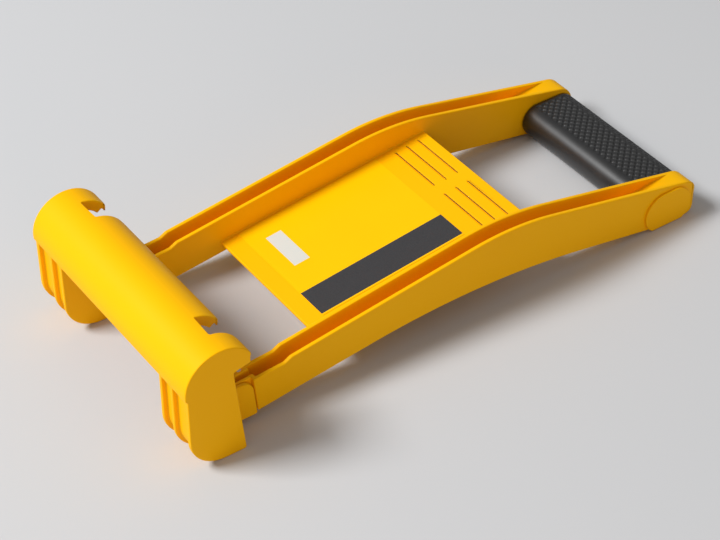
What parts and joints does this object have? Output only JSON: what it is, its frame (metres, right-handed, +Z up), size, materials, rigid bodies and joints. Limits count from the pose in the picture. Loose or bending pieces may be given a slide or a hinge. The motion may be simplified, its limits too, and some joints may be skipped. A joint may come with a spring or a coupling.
{
  "type": "panel carrier",
  "caption": "Yellow plastic panel carrier: a half-round hooked jaw hinged to channel arms that join a sloping plate and a black knurled grip, for lifting a board by its lower edge.",
  "frame": {"origin": "bottom centre of the bounding box, on the surface the tool lies on", "axes": "+Y along the tool from the jaw to the handle, +Z up from the surface it lies on, +X across"},
  "size_m": [0.178, 0.402, 0.0828],
  "materials": {
    "abs_yellow": "satin",
    "grip_rubber": "knurled matte",
    "steel": "zinc plated",
    "aluminium": "mill",
    "label_film": "printed film"
  },
  "bodies": {
    "carrier": {"frame": "abs_yellow", "handle_bar": "aluminium", "grip": "grip_rubber", "handle_screw_left": "steel", "handle_screw_right": "steel", "eye_cap_left": "abs_yellow", "eye_cap_right": "abs_yellow", "label": "label_film"},
    "jaw": {"jaw": "abs_yellow", "pivot_pin_left": "steel", "pivot_pin_right": "steel"}
  },
  "joints": [
    {"name": "jaw_hinge", "type": "hinge", "parent": "carrier", "child": "jaw", "pos_m": [0, -0.1775, 0.0175], "axis": [1, 0, 0], "range_deg": [-60, 0]}
  ]
}
